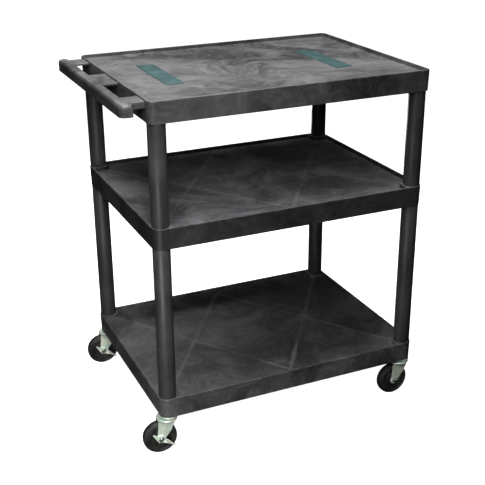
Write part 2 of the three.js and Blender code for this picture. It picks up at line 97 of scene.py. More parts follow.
TYRE_HALF = 12.0
RIM_HALF = 10.0
FORK_INNER = 13.7
FORK_SHEET = 2.5
FORK_OUTER = FORK_INNER + FORK_SHEET
FORK_END = 12.5
CROWN_RADIUS = 30.0
CROWN_OFFSET = 6.0
CROWN_HEIGHT = 7.8
RACE_RADIUS = 26.0
RACE_HEIGHT = 7.0
HEAD_RADIUS = 9.0
HEAD_HEIGHT = 4.5
KINGPIN_RADIUS = 6.0
STEM_RADIUS = 8.0
STEM_LENGTH = 28.0
PIN_HOLE = 6.3
AXLE_RADIUS = 4.0
AXLE_HOLE = 4.3
BUSHING_RADIUS = 6.0
TYRE_BORE = 34.3
NUT_ACROSS = 13.0
NUT_HEIGHT = 4.5
BOLT_TAIL = 1.5
BRAKE_SHEET = 2.5
BRAKE_FLANGE = 6.0
BRAKE_HEAD = 12.5
RELEASE_TIP, RELEASE_HEEL = (-23, 19), (-6, -8)
LOCK_TIP, LOCK_SHOULDER = (39.5, -26), (17, -3)


# ------------------------------------------------------------------ mesh helpers
def make_object(name, bm, material, place=None, smooth=32.0):
    """Turn a millimetre bmesh into a metre object with crisp edges above the smooth angle."""
    bmesh.ops.remove_doubles(bm, verts=bm.verts, dist=1e-3)
    bmesh.ops.recalc_face_normals(bm, faces=bm.faces)
    bm.transform((place or Matrix.Identity(4)) @ Matrix.Scale(MM, 4))
    mesh = bpy.data.meshes.new(name)
    bm.to_mesh(mesh)
    bm.free()
    mesh.shade_smooth()
    mesh.set_sharp_from_angle(angle=math.radians(smooth))
    obj = bpy.data.objects.new(name, mesh)
    bpy.context.scene.collection.objects.link(obj)
    if material:
        mesh.materials.append(material)
    return obj


def apply_modifiers(obj):
    """Bake the modifier stack into the mesh."""
    graph = bpy.context.evaluated_depsgraph_get()
    mesh = bpy.data.meshes.new_from_object(obj.evaluated_get(graph))
    obj.modifiers.clear()
    obj.data = mesh
    return obj


def boolean(obj, other, operation):
    """Join or cut obj with other and drop other."""
    step = obj.modifiers.new("boolean", "BOOLEAN")
    step.operation = operation
    step.solver = "EXACT"
    step.object = other
    apply_modifiers(obj)
    bpy.data.objects.remove(other)
    return obj


def weighted(obj):
    """Keep wide flat faces looking flat beside their rounded edges."""
    step = obj.modifiers.new("weighted", "WEIGHTED_NORMAL")
    step.keep_sharp = True
    step.weight = 100
    return apply_modifiers(obj)


def fillet(points, radius, steps, closed=True):
    """Round the corners of a 2-D polygon; radius is one number or one per point."""
    count = len(points)
    radii = [radius] * count if isinstance(radius, (int, float)) else list(radius)
    rounded = []
    for i, point in enumerate(points):
        p = Vector(point)
        ends = closed or 0 < i < count - 1
        if radii[i] <= 0 or not ends:
            rounded.append(tuple(p))
            continue
        before = Vector(points[i - 1]) - p
        after = Vector(points[(i + 1) % count]) - p
        a, b = before.normalized(), after.normalized()
        half = a.angle(b) / 2
        reach = min(radii[i] / math.tan(half), 0.49 * before.length, 0.49 * after.length)
        r = reach * math.tan(half)
        centre = p + (a + b).normalized() * (r / math.sin(half))
        start, end = p + a * reach - centre, p + b * reach - centre
        for k in range(steps + 1):
            direction = start.lerp(end, k / steps).normalized()
            rounded.append(tuple(centre + direction * r))
    return rounded


def skin(loops):
    """A closed skin over rings of equal length: quads between them and a cap at each end."""
    bm = bmesh.new()
    rings = [[bm.verts.new(p) for p in loop] for loop in loops]
    for low, high in zip(rings, rings[1:]):
        for i in range(len(low)):
            j = (i + 1) % len(low)
            bm.faces.new((low[i], low[j], high[j], high[i]))
    bm.faces.new(reversed(rings[0]))
    bm.faces.new(rings[-1])
    return bm


def turned(profile, segments, bm=None, close_path=False):
    """A solid of revolution about Z; profile points are (radius, z) and may start on the axis."""
    bm = bm or bmesh.new()
    rings = []
    for r, z in profile:
        if r < 1e-6:
            rings.append([bm.verts.new((0, 0, z))])
            continue
        angles = [2 * math.pi * i / segments for i in range(segments)]
        rings.append([bm.verts.new((r * math.cos(a), r * math.sin(a), z)) for a in angles])
    pairs = list(zip(rings, rings[1:]))
    if close_path:
        pairs.append((rings[-1], rings[0]))
    for low, high in pairs:
        for i in range(segments):
            j = (i + 1) % segments
            if len(low) == 1:
                bm.faces.new((low[0], high[j], high[i]))
            elif len(high) == 1:
                bm.faces.new((low[i], low[j], high[0]))
            else:
                bm.faces.new((low[i], low[j], high[j], high[i]))
    return bm


def plate(outline, low, high, bevel):
    """A flat plate whose outline lies in X-Z, between y = low and y = high, edges eased."""
    inner = inset_outline(outline, bevel)
    levels = [(low, inner), (low + bevel, outline), (high - bevel, outline), (high, inner)]
    return skin([[(x, y, z) for x, z in ring] for y, ring in levels])


def inset_outline(outline, amount):
    """Move every point of a closed outline inward along its corner's bisector."""
    area = sum(
        a[0] * b[1] - b[0] * a[1] for a, b in zip(outline, outline[1:] + outline[:1])
    )
    side = 1.0 if area > 0 else -1.0
    moved = []
    for i, point in enumerate(outline):
        before = Vector(outline[i - 1]) - Vector(point)
        after = Vector(outline[(i + 1) % len(outline)]) - Vector(point)
        normal = (after.normalized() - before.normalized()).normalized()
        inward = Vector((-normal.y, normal.x)) * side
        moved.append((point[0] + inward.x * amount, point[1] + inward.y * amount))
    return moved


def block(low, high, bevel, steps=2):
    """A box with rounded edges."""
    bm = bmesh.new()
    bmesh.ops.create_cube(bm, size=1.0)
    size = Vector(high) - Vector(low)
    middle = (Vector(high) + Vector(low)) / 2
    bm.transform(Matrix.Translation(middle) @ Matrix.Diagonal((*size, 1)))
    bmesh.ops.bevel(
        bm, geom=bm.edges[:], offset=bevel, segments=steps, profile=0.5, affect="EDGES"
    )
    return bm


def merge(bm, other, place=None):
    """Add another bmesh to bm."""
    if place:
        other.transform(place)
    mesh = bpy.data.meshes.new("part")
    other.to_mesh(mesh)
    other.free()
    bm.from_mesh(mesh)
    bpy.data.meshes.remove(mesh)
    return bm


# ------------------------------------------------------------------ material helpers
class Nodes:
    """A small builder for node materials."""

    def __init__(self, name):
        self.material = bpy.data.materials.new(name)
        self.material.use_nodes = True
        self.tree = self.material.node_tree
        self.bsdf = self.tree.nodes["Principled BSDF"]
        self.place = self.add("ShaderNodeTexCoord").outputs["Object"]

    def add(self, kind, **settings):
        node = self.tree.nodes.new(kind)
        for key, value in settings.items():
            setattr(node, key, value)
        return node

    def link(self, source, target):
        self.tree.links.new(source, target)

    def noise(self, scale, detail=3.0, rough=0.55, distortion=0.0, stretch=None, source=None):
        node = self.add("ShaderNodeTexNoise")
        node.inputs["Scale"].default_value = scale
        node.inputs["Detail"].default_value = detail
        node.inputs["Roughness"].default_value = rough
        node.inputs["Distortion"].default_value = distortion
        source = source or self.place
        if stretch:
            mapping = self.add("ShaderNodeMapping")
            mapping.inputs["Scale"].default_value = stretch
            self.link(source, mapping.inputs["Vector"])
            source = mapping.outputs["Vector"]
        self.link(source, node.inputs["Vector"])
        return node.outputs["Fac"]

    def ramp(self, source, low, high, first=0.0, last=1.0):
        node = self.add("ShaderNodeMapRange", interpolation_type="SMOOTHSTEP")
        node.inputs["From Min"].default_value = low
        node.inputs["From Max"].default_value = high
        node.inputs["To Min"].default_value = first
        node.inputs["To Max"].default_value = last
        self.link(source, node.inputs["Value"])
        return node.outputs["Result"]

    def math(self, operation, a, b=0.0, c=None):
        node = self.add("ShaderNodeMath", operation=operation)
        for socket, value in zip(node.inputs, (a, b, c)):
            if value is None:
                continue
            if isinstance(value, (int, float)):
                socket.default_value = value
            else:
                self.link(value, socket)
        return node.outputs["Value"]

    def mix(self, factor, a, b, blend="MIX"):
        node = self.add("ShaderNodeMix", data_type="RGBA", blend_type=blend)
        sockets = (node.inputs[0], node.inputs[6], node.inputs[7])  # factor, A and B colours
        for socket, value in zip(sockets, (factor, a, b)):
            if isinstance(value, (int, float)):
                socket.default_value = value
            elif isinstance(value, tuple):
                socket.default_value = (*value, 1.0)
            else:
                self.link(value, socket)
        return node.outputs[2]

    def bump(self, height, strength, distance, below=None):
        node = self.add("ShaderNodeBump")
        node.inputs["Strength"].default_value = strength
        node.inputs["Distance"].default_value = distance
        self.link(height, node.inputs["Height"])
        if below:
            self.link(below, node.inputs["Normal"])
        return node.outputs["Normal"]

    def finish(self, color=None, roughness=None, normal=None, **plain):
        if color is not None:
            self.link(color, self.bsdf.inputs["Base Color"])
        if roughness is not None:
            self.link(roughness, self.bsdf.inputs["Roughness"])
        if normal is not None:
            self.link(normal, self.bsdf.inputs["Normal"])
        for key, value in plain.items():
            self.bsdf.inputs[key.replace("_", " ")].default_value = value
        return self.material


# ------------------------------------------------------------------ materials
def foam_plastic(name, dark, light, middle_x, leg_x, leg_y, ribs, deck_painted_light):
    """Charcoal structural foam: cloudy swirls, fine grain, and ribs that read through the deck.

    The lengths are in metres. ribs is how strongly the rib lines show, and the last argument is
    painted light: how much paler the faces that look up are made, as if lit from above.
    """
    n = Nodes(name)
    warp = n.add("ShaderNodeVectorMath", operation="ADD")
    drift = n.add("ShaderNodeTexNoise")
    drift.inputs["Scale"].default_value = 3.2
    drift.inputs["Detail"].default_value = 3.0
    n.link(n.place, drift.inputs["Vector"])
    push = n.add("ShaderNodeVectorMath", operation="SCALE")
    push.inputs["Scale"].default_value = 0.42
    n.link(drift.outputs["Color"], push.inputs[0])
    n.link(n.place, warp.inputs[0])
    n.link(push.outputs["Vector"], warp.inputs[1])
    swirled = warp.outputs["Vector"]
    clouds = n.ramp(n.noise(4.6, 5.0, 0.6, 0.6, source=swirled), 0.36, 0.66)
    streaks = n.ramp(n.noise(16.0, 6.0, 0.68, 1.6, (1.0, 2.2, 1.6), swirled), 0.42, 0.68)
    flow = n.math("ADD", n.math("MULTIPLY", clouds, 0.62), n.math("MULTIPLY", streaks, 0.38))

    split = n.add("ShaderNodeSeparateXYZ")
    n.link(n.place, split.inputs["Vector"])
    along = n.math("ABSOLUTE", n.math("SUBTRACT", split.outputs["X"], middle_x))
    across = n.math("ABSOLUTE", split.outputs["Y"])
    half = leg_x / 2
    slope = leg_y / half
    arm = n.math("ABSOLUTE", n.math("SUBTRACT", along, half))
    gap = n.math("ABSOLUTE", n.math("SUBTRACT", n.math("MULTIPLY", arm, slope), across))
    distance = n.math("DIVIDE", gap, math.hypot(slope, 1.0))
    facing = n.add("ShaderNodeNewGeometry").outputs["Normal"]
    upward = n.add("ShaderNodeSeparateXYZ")
    n.link(facing, upward.inputs["Vector"])
    deck = n.ramp(upward.outputs["Z"], 0.90, 0.98)
    line = n.math("MULTIPLY", n.ramp(distance, 0.0015, 0.0085, 1.0, 0.0), deck)
    line = n.math("MULTIPLY", line, n.ramp(n.noise(7.0, 2.0), 0.35, 0.62, 0.35, 1.0))

    tone = n.math("ADD", flow, n.math("MULTIPLY", line, ribs))
    color = n.mix(n.math("MINIMUM", tone, 1.0), dark, light)
    # Painted light: the colour of faces that look up is scaled paler, as if lit from above.
    lit = n.add("ShaderNodeVectorMath", operation="SCALE")
    n.link(color, lit.inputs[0])
    n.link(n.math("MULTIPLY_ADD", deck, deck_painted_light - 1.0, 1.0), lit.inputs["Scale"])
    color = lit.outputs["Vector"]
    specks = n.ramp(n.noise(420.0, 2.0, 0.6), 0.62, 0.78, 0.0, 0.35)
    color = n.mix(specks, color, tuple(min(1.0, 1.6 * c) for c in light))
    rough = n.math("ADD", n.ramp(flow, 0.0, 1.0, 0.50, 0.40), n.math("MULTIPLY", specks, 0.1))
    grain = n.bump(n.noise(900.0, 3.0, 0.6), 0.22, 0.0006)
    ripple = n.bump(n.noise(38.0, 3.0, 0.5), 0.10, 0.003, grain)
    normal = n.bump(line, 0.25, 0.0006, ripple)
    return n.finish(color, rough, normal, IOR=1.5)


def tube_plastic(name):
    """Leg tubes: smoother and a touch lighter, with faint streaks along their length."""
    n = Nodes(name)
    streaks = n.noise(60.0, 4.0, 0.6, 0.3, (1.0, 1.0, 0.05))
    clouds = n.noise(9.0, 3.0)
    tone = n.math("MULTIPLY", n.math("ADD", streaks, clouds), 0.5)
    color = n.mix(n.ramp(tone, 0.38, 0.62), (0.026, 0.026, 0.027), (0.043, 0.043, 0.045))
    rough = n.ramp(clouds, 0.3, 0.7, 0.38, 0.48)
    normal = n.bump(n.noise(700.0, 2.0), 0.12, 0.0005)
    return n.finish(color, rough, normal, IOR=1.5)


def teal_strip(name):
    """Grip pads: matt teal strip with a fine grit and scuffed patches."""
    n = Nodes(name)
    scuffs = n.ramp(n.noise(24.0, 5.0, 0.65, 0.8), 0.40, 0.70)
    grit = n.noise(1500.0, 3.0, 0.7)
    color = n.mix(scuffs, (0.024, 0.056, 0.058), (0.048, 0.092, 0.093))
    color = n.mix(n.ramp(grit, 0.58, 0.75, 0.0, 0.5), color, (0.09, 0.15, 0.15))
    rough = n.ramp(grit, 0.3, 0.7, 0.62, 0.85)
    return n.finish(color, rough, n.bump(grit, 0.45, 0.0008), IOR=1.45)


def zinc(name):
    """Zinc-plated pressed steel with a pale green passivated cast, darkened above the crown's lower
    edge as painted shade.
    """
    tint = (0.82, 0.90, 0.80)
    painted_shade_tone = (0.60, 0.64, 0.64)
    n = Nodes(name)
    bloom = n.noise(55.0, 4.0, 0.6, 0.5)
    warm = tuple(c * f for c, f in zip(tint, (1.14, 1.04, 0.95)))
    cool = tuple(c * f for c, f in zip(tint, (0.84, 0.93, 0.92)))
    color = n.mix(n.ramp(bloom, 0.36, 0.64), cool, warm)
    # Painted shade: everything above the crown's lower edge (the crown and the race plate) is
    # darkened.
    split = n.add("ShaderNodeSeparateXYZ")
    n.link(n.place, split.inputs["Vector"])
    painted_shade_mask = n.ramp(split.outputs["Z"], (CROWN_LOW - 2) * MM, (CROWN_LOW + 1) * MM)
    color = n.mix(painted_shade_mask, color, painted_shade_tone, "MULTIPLY")
    brushed = n.noise(500.0, 3.0, 0.6, 0.0, (1.0, 1.0, 0.08))
    rough = n.math("ADD", n.ramp(bloom, 0.3, 0.7, 0.30, 0.44), n.math("MULTIPLY", brushed, 0.06))
    normal = n.bump(brushed, 0.10, 0.0004)
    return n.finish(color, rough, normal, Metallic=0.40)


def bright_steel(name):
    """Plated fasteners."""
    n = Nodes(name)
    mottle = n.noise(180.0, 3.0)
    color = n.mix(n.ramp(mottle, 0.35, 0.65), (0.42, 0.44, 0.43), (0.60, 0.62, 0.60))
    rough = n.ramp(mottle, 0.3, 0.7, 0.26, 0.40)
    return n.finish(color, rough, n.bump(n.noise(900.0), 0.08, 0.0003), Metallic=1.0)


def black_rubber(name, base, worn, low, high):
    """Wheel rubber: near black, dusty in places, with a dull fine grain."""
    n = Nodes(name)
    dust = n.ramp(n.noise(34.0, 5.0, 0.65, 0.6), 0.42, 0.72)
    color = n.mix(dust, base, worn)
    rough = n.ramp(dust, 0.0, 1.0, low, high)
    return n.finish(color, rough, n.bump(n.noise(1100.0, 3.0), 0.20, 0.0005), IOR=1.5)


# ------------------------------------------------------------------ shelves
class Shelf:
    """A shelf's outlines, centred on its own middle with z = 0 at its lower edge."""

    def __init__(self, node, leg_x, leg_y, corner, legs_above):
        low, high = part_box(node)
        self.node = node
        self.height = (high.z - low.z) / MM
        self.half_x = SHELF_HALF_X
        self.half_y = (high.y - low.y) / 2 / MM
        self.centre = Vector((SHELF_MIDDLE_X, 0.0, low.z))
        self.leg_x = leg_x
        self.leg_y = leg_y
        self.corner = corner
        self.legs_above = legs_above

    def quarter_turns(self, corner_points):
        """Repeat one corner's points, given for +X +Y from the right side to the back."""
        loop = corner_points + [(-x, y) for x, y in reversed(corner_points)]
        loop += [(-x, -y) for x, y in corner_points]
        loop += [(x, -y) for x, y in reversed(corner_points)]
        return loop

    def outer(self, inset, steps):
        """Outline of the shelf moved in by inset, its corners still round."""
        r = max(self.corner - inset, 0.5)
        cx, cy = self.half_x - inset - r, self.half_y - inset - r
        angles = [math.pi / 2 * k / steps for k in range(steps + 1)]
        return self.quarter_turns([(cx + r * math.cos(a), cy + r * math.sin(a)) for a in angles])

    def around_legs(self, inset, grow, steps):
        """Inner outline that steps round the square corner pads of the leg sockets."""
        pad = COLLAR_RADIUS + grow
        ease = max(5.0 - grow, 0.6)
        x_wall, y_wall = self.half_x - inset, self.half_y - inset
        x_pad, y_pad = self.leg_x - pad, self.leg_y - pad
        round_pad = 20.0 + grow
        path = [(x_wall, 0), (x_wall, y_pad), (x_pad, y_pad), (x_pad, y_wall), (0, y_wall)]
        points = fillet(path, [0, ease, round_pad, ease, 0], steps, closed=False)
        return self.quarter_turns(points[1:-1])


def shelf_body(shelf, material):
    """The whole tray skinned as one closed surface: underside, walls, lip and deck."""
    pad_steps = 6
    per_corner = 3 * (pad_steps + 1) - 1  # as many points as the outline round the pads has
    roof_fillet, rim_rounding, lip_rounding, deck_fillet = 3, 2.2, 1.4, 2.5
    lip_draft = 0.3
    h = shelf.height
    deck = h - LIP_DEPTH
    hollow = deck - DECK_THICKNESS
    under = WALL + SHELF_DRAFT
    loops = []

    def put(outline, z):
        loops.append([(x, y, z) for x, y in outline])

    def pads(inset, grow, z):
        put(shelf.around_legs(inset, grow, pad_steps), z)

    def rim(inset, z):
        put(shelf.outer(inset, per_corner), z)

    def tray(inset, grow, z):
        if shelf.legs_above:
            pads(inset, grow, z)
        else:
            rim(inset, z)

    arc = [math.pi / 2 * k / 4 for k in range(5)]
    for a in arc:  # fillet between the hollow's roof and its walls
        reach = roof_fillet * (1 - math.sin(a))
        pads(under + reach, reach, hollow - roof_fillet * (1 - math.cos(a)))
    pads(under, 0.0, 1.0)
    pads(under - 0.6, -0.6, 0.0)
    rim(SHELF_DRAFT + 1.0, 0.0)
    rim(SHELF_DRAFT + 0.3, 0.3)
    rim(SHELF_DRAFT, 1.0)
    for a in arc:  # outer edge of the lip
        rim(rim_rounding * (1 - math.cos(a)), h - rim_rounding * (1 - math.sin(a)))
    for a in reversed(arc[:-1]):  # inner edge of the lip
        back = lip_rounding * (1 - math.cos(a))
        tray(LIP_WIDTH - back, -back, h - lip_rounding * (1 - math.sin(a)))
    for a in arc:  # fillet between lip and deck
        reach = lip_draft + deck_fillet * (1 - math.cos(a))
        tray(LIP_WIDTH + reach, reach, deck + deck_fillet * (1 - math.sin(a)))
    place = Matrix.Translation(shelf.centre)
    return make_object(shelf.node + "_moulding", skin(loops), material, place)


def rib_lattice(shelf):
    """Two crosses of stiffening ribs under the deck, ends buried in the corner bosses."""
    hollow = shelf.height - LIP_DEPTH - DECK_THICKNESS
    length = math.hypot(shelf.leg_x, 2 * shelf.leg_y)
    angle = math.atan2(2 * shelf.leg_y, shelf.leg_x)
    foot, root = RIB_THICKNESS / 2, RIB_THICKNESS / 2 + 0.6
    section = [(-foot, -RIB_HEIGHT), (foot, -RIB_HEIGHT), (root, 1.5), (-root, 1.5)]
    outline = fillet(section, [1.2, 1.2, 0, 0], 3)
    loops = [[(x, y, z + hollow) for y, z in outline] for x in (-length / 2, length / 2)]
    bars = []
    for side in (-1, 1):
        for lean in (-1, 1):
            turn = Matrix.Rotation(lean * angle, 4, "Z")
            shift = Matrix.Translation(shelf.centre + Vector((side * shelf.leg_x / 2 * MM, 0, 0)))
            bars.append(make_object("rib", skin(loops), None, shift @ turn))
    return bars


def corner_cutters(shelf, radius, low, high):
    """Four rods on the leg axes, to cut sockets or bores with."""
    cutters = bmesh.new()
    for sx in (-1, 1):
        for sy in (-1, 1):
            rod = turned([(0, low), (radius, low), (radius, high), (0, high)], 48)
            merge(cutters, rod, Matrix.Translation((sx * shelf.leg_x, sy * shelf.leg_y, 0)))
    return make_object("cutter", cutters, None, Matrix.Translation(shelf.centre))


def build_shelf(shelf, material, stem_bores):
    """A shelf with its ribs, its leg sockets and, under the bottom one, the stem bores."""
    obj = shelf_body(shelf, material)
    for bar in rib_lattice(shelf):
        boolean(obj, bar, "UNION")
    h = shelf.height
    if shelf.legs_above:
        boolean(obj, corner_cutters(shelf, SOCKET_RADIUS, h - SOCKET_DEPTH, h + 2), "DIFFERENCE")
    if stem_bores:
        boolean(obj, corner_cutters(shelf, STEM_BORE, -2, STEM_BORE_DEPTH), "DIFFERENCE")
    else:
        boolean(obj, corner_cutters(shelf, SOCKET_RADIUS, -2, SOCKET_DEPTH), "DIFFERENCE")
    return obj


# ------------------------------------------------------------------ push handle
def handle_bar(shelf, reach, material):
    """The bar: level outlines, its top rounded more towards the shelf than outwards."""
    left = -(shelf.half_x + reach)
    right = left + BAR_WIDTH
    top = shelf.height - BAR_DROP
    low = top - BAR_HEIGHT

    def inset(rounding, depth):
        rise = max(0.0, rounding - depth)
        return rounding - math.sqrt(rounding * rounding - rise * rise)

    def outline(z, outer, inner):
        """One ring at height z, its outer and end faces in by outer and its inner by inner."""
        r_outer = BAR_OUTER_RADIUS - 1.35 * outer
        r_inner = BAR_INNER_RADIUS + 0.1 * inner
        end = BAR_HALF_LENGTH - outer
        ring = []
        for quarter, (x_sign, y_sign) in enumerate([(1, 1), (-1, 1), (-1, -1), (1, -1)]):
            r = r_inner if x_sign > 0 else r_outer
            cx = right - inner - r if x_sign > 0 else left + outer + r
            cy = y_sign * (end - r)
            for k in range(9):
                b = math.pi / 2 * (quarter + k / 8)
                ring.append((cx + r * math.cos(b), cy + r * math.sin(b), z))
        return ring

    loops = []
    for k in range(4):
        a = math.pi / 2 * k / 3
        edge = BAR_LOWER_ROUNDING * (1 - math.sin(a))
        loops.append(outline(low + BAR_LOWER_ROUNDING * (1 - math.cos(a)), edge, edge))
    for k in range(15):
        depth = BAR_INNER_ROUNDING * (1 - math.sin(math.pi / 2 * k / 14))
        outer = inset(BAR_OUTER_ROUNDING, depth)
        loops.append(outline(top - depth, outer, inset(BAR_INNER_ROUNDING, depth)))
    return make_object("handle_bar", skin(loops), material, Matrix.Translation(shelf.centre))


def handle_arm(shelf, reach, near, far, material):
    """An arm from the bar to the shelf wall, with a slightly hollow top and eased edges."""
    start = -(shelf.half_x + reach) + BAR_WIDTH / 2
    end = -shelf.half_x + ARM_OVERLAP
    top = shelf.height - ARM_DROP
    low = top - ARM_HEIGHT
    steps = 12
    crest = []
    for k in range(steps + 1):
        t = k / steps
        crest.append((start + (end - start) * t, top - ARM_SADDLE * math.sin(math.pi * t)))
    outline = crest + [(end, low), (start, low)]
    sides = []
    for k in range(4):
        a = math.pi / 2 * k / 3
        sides.append((near + ARM_ROUNDING * (1 - math.cos(a)), ARM_ROUNDING * (1 - math.sin(a))))
    sides += [(far - (y - near), inset) for y, inset in reversed(sides)]
    loops = [[(x, y, z) for x, z in inset_outline(outline, inset)] for y, inset in sides]
    return make_object("handle_arm", skin(loops), material, Matrix.Translation(shelf.centre))


def arm_flange(shelf, reach, end, material):
    """The deep outer edge of an end arm, with a round corner where it meets the bar."""
    bar = BAR_WIDTH - shelf.half_x - reach
    buried = bar - 6
    wall = ARM_OVERLAP - shelf.half_x
    inner = END_ARM_OUTER - FLANGE_WIDTH
    outline = [(buried, inner), (wall, inner), (wall, END_ARM_OUTER)]
    for k in range(9):
        a = math.pi / 2 * (1 + k / 8)
        x = bar + FLANGE_FILLET * (1 + math.cos(a))
        outline.append((x, END_ARM_OUTER + FLANGE_FILLET * (1 - math.sin(a))))
    outline.append((buried, END_ARM_OUTER + FLANGE_FILLET))
    top = shelf.height - ARM_DROP
    low = top - FLANGE_HEIGHT
    under_arm = top - 2.8
    bm = plate([(x, -end * y) for x, y in outline], low, under_arm, 1.0)
    level = Matrix.Rotation(math.pi / 2, 4, "X")
    return make_object("arm_flange", bm, material, Matrix.Translation(shelf.centre) @ level)


def add_handle(body, shelf, reach, material):
    """Join the bar, the two flanges and the three arms to the top shelf."""
    boolean(body, handle_bar(shelf, reach, material), "UNION")
    for end in (-1, 1):
        boolean(body, arm_flange(shelf, reach, end, material), "UNION")
    spans = [
        (-END_ARM_OUTER, -END_ARM_INNER),
        (-MIDDLE_ARM_HALF, MIDDLE_ARM_HALF),
        (END_ARM_INNER, END_ARM_OUTER),
    ]
    for near, far in spans:
        boolean(body, handle_arm(shelf, reach, near, far, material), "UNION")


# ------------------------------------------------------------------ legs and pads
def leg_tube(name, node, material):
    """A tube with a necked end at the top and the bottom."""
    low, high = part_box(node)
    middle = (low + high) / 2
    radius = (high.x - low.x) / 2 / MM
    length = (high.z - low.z) / MM
    bottom, top = SOCKET_DEPTH, length - SOCKET_DEPTH
    profile = [
        (LEG_BORE, 0), (SPIGOT_RADIUS, 0), (SPIGOT_RADIUS, bottom),
        (radius, bottom), (radius, top), (SPIGOT_RADIUS, top),
        (SPIGOT_RADIUS, length), (LEG_BORE, length),
    ]
    rounded = fillet(profile, [0.4, 0.8, 0.4, 1.2, 1.2, 0.4, 0.8, 0.4], 3)
    place = Matrix.Translation((middle.x, middle.y, low.z))
    return make_object(name, turned(rounded, 96, close_path=True), material, place)


def grip_pad(name, node, material):
    """A thin strip with round corners and a softened upper edge."""
    low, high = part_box(node)
    size = (high - low) / MM
    corners = [(0, 0), (size.x, 0), (size.x, size.y), (0, size.y)]
    outline = fillet(corners, 3.0, 5)
    levels = [(0, outline), (size.z - 0.9, outline)]
    levels += [(size.z - 0.25, inset_outline(outline, 0.5)), (size.z, inset_outline(outline, 1.2))]
    loops = [[(x, y, z) for x, y in ring] for z, ring in levels]
    return make_object(name, skin(loops), material, Matrix.Translation(low), 50)


# ------------------------------------------------------------------ casters
class Caster:
    """Places of one caster: stem axis, axle and heading, all read from the joints."""

    def __init__(self, corner, joints):
        stem = Vector(joints[f"swivel_{corner}_turn"]["pos_m"])
        axle = Vector(joints[f"wheel_{corner}_spin"]["pos_m"])
        self.name = corner
        self.axle_z = axle.z / MM
        self.trail = math.hypot(axle.x - stem.x, axle.y - stem.y) / MM
        heading = math.atan2(stem.y - axle.y, stem.x - axle.x)
        turn = Matrix.Rotation(heading, 4, "Z")
        self.at_stem = Matrix.Translation((stem.x, stem.y, 0)) @ turn
        across = Matrix.Rotation(math.radians(90), 4, "X")
        self.at_axle = Matrix.Translation((axle.x, axle.y, axle.z)) @ turn @ across
        self.brake = f"brake_{corner}_rock" in joints


def drill(radius, low, high, place):
    """A rod along the Z of place, to cut a hole with."""
    rod = turned([(0, low), (radius, low), (radius, high), (0, high)], 40)
    return make_object("cutter", rod, None, place)


def race(c, material):
    """Pressed race plate with its rolled edge, the kingpin below it and the stem above it."""
    top = SHELF_LOW - FIT_GAP
    stem_top = SHELF_LOW + STEM_LENGTH
    profile = [
        (0, HEAD_LOW), (HEAD_RADIUS - 1, HEAD_LOW), (HEAD_RADIUS, HEAD_LOW + 1),
        (HEAD_RADIUS, CROWN_LOW - FIT_GAP), (KINGPIN_RADIUS, CROWN_LOW - FIT_GAP),
        (KINGPIN_RADIUS, RACE_LOW), (RACE_RADIUS - 4, RACE_LOW), (RACE_RADIUS, RACE_LOW + 2.2),
        (RACE_RADIUS, top - 2.6), (RACE_RADIUS - 2.5, top), (STEM_RADIUS, top),
        (STEM_RADIUS, stem_top - 2), (STEM_RADIUS - 2, stem_top), (0, stem_top),
    ]
    radii = [0, 0.6, 0.6, 0.3, 0.3, 0.3, 1, 1.4, 1.4, 1.2, 0.4, 1, 1, 0]
    rounded = fillet(profile, radii, 3, closed=False)
    return make_object(f"race_{c.name}", turned(rounded, 72), material, c.at_stem)


def edge_at(z, points):
    """Straight-line reading of an edge given as (x, z) points, lowest first."""
    for (x0, z0), (x1, z1) in zip(points, points[1:]):
        if z <= z1:
            return x0 + (x1 - x0) * (z - z0) / (z1 - z0)
    return points[-1][0]


def fork_arm(c, side):
    """One tapered side arm with a shallow crease, standing on the round end at the axle."""
    end = c.axle_z
    t = -c.trail
    mid = (FORK_INNER + FORK_OUTER) / 2
    top = CROWN_LOW + 3
    rear = [(t - FORK_END, end), (-36.5, end + 12), (-34.3, end + 34), (-33, top)]
    front = [(t + FORK_END, end), (-7.5, end + 9), (2.5, end + 24.5), (9.5, end + 43), (15, top)]
    levels = [end - FORK_END * math.cos(math.pi / 2 * k / 8) for k in range(9)]
    levels += [end + (top - end) * k / 16 for k in range(1, 17)]
    columns = 13
    crease = t + 9
    rows = []
    bm = bmesh.new()
    for z in levels:
        if z < end:
            w = math.sqrt(max(FORK_END**2 - (z - end) ** 2, 1.0))
            x0, x1 = t - w, t + w
        else:
            x0, x1 = edge_at(z, rear), edge_at(z, front)
        row = []
        for i in range(columns):
            x = x0 + (x1 - x0) * i / (columns - 1)
            above_pedal = min(1.0, max(0.0, (z - end - 14) / 10))
            flare = 0.10 * max(0.0, x - crease) * above_pedal
            row.append(bm.verts.new((x, side * (mid + flare), z)))
        rows.append(row)
    for low, high in zip(rows, rows[1:]):
        for i in range(columns - 1):
            bm.faces.new((low[i], low[i + 1], high[i + 1], high[i]))
    obj = make_object("fork_arm", bm, None, c.at_stem, 60)
    thick = obj.modifiers.new("thick", "SOLIDIFY")
    thick.thickness = FORK_SHEET * MM
    thick.offset = 0.0
    thick.use_even_offset = True
    ease = obj.modifiers.new("ease", "BEVEL")
    ease.width = 0.5 * MM
    ease.segments = 2
    ease.limit_method = "ANGLE"
    ease.angle_limit = math.radians(50)
    return apply_modifiers(obj)


